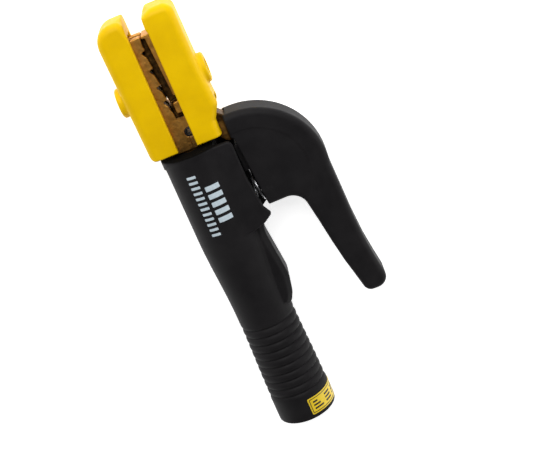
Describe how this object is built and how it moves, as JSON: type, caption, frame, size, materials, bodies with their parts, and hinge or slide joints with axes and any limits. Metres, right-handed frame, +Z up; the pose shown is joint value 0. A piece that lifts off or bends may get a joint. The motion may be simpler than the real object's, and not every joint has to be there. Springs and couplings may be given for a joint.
{
  "type": "electrode holder",
  "caption": "Tongs-type welding electrode holder with a ribbed insulated handle, a squeeze lever, a return spring and insulated toothed brass jaws.",
  "frame": {"origin": "centre of the bounding box at its lowest level, with the holder lying on its side", "axes": "+Y along the handle towards the jaw tips, +X towards the lever, +Z up, along the lever's pivot pin"},
  "size_m": [0.102, 0.262, 0.0392],
  "materials": {
    "black_nylon": "fine moulded grain, satin",
    "yellow_nylon": "moulded, satin",
    "cast_brass": "as cast, slightly tarnished",
    "dark_steel": "black oxide",
    "spring_steel": "bright drawn wire",
    "zinc_steel": "zinc plated",
    "copper_strip": "bright copper",
    "label_film": "printed film, satin"
  },
  "bodies": {
    "handle_side": {"handle_sleeve": "black_nylon", "collar_label": "label_film", "fixed_jaw": "cast_brass", "cable_socket": "cast_brass", "clamp_screw_front": "dark_steel", "clamp_screw_rear": "dark_steel", "cable_pressure_strip": "copper_strip", "handle_screw": "zinc_steel", "fixed_insulator": "yellow_nylon", "fixed_insulator_washer": "zinc_steel", "fixed_insulator_screw": "zinc_steel", "pivot_pin": "dark_steel", "return_spring": "spring_steel", "spring_seat": "zinc_steel"},
    "lever_side": {"lever": "black_nylon", "lever_screw": "zinc_steel", "moving_jaw": "cast_brass", "moving_insulator": "yellow_nylon", "moving_insulator_washer": "zinc_steel", "moving_insulator_screw": "zinc_steel", "pivot_bush": "cast_brass"}
  },
  "joints": [
    {"name": "lever_pivot", "type": "hinge", "parent": "handle_side", "child": "lever_side", "pos_m": [-0.0207, 0.059, 0.0196], "axis": [0, 0, -1], "range_deg": [0, 12], "stiffness_Nm_per_rad": 8, "springref_deg": -22.92, "deforming": ["return_spring"]}
  ]
}
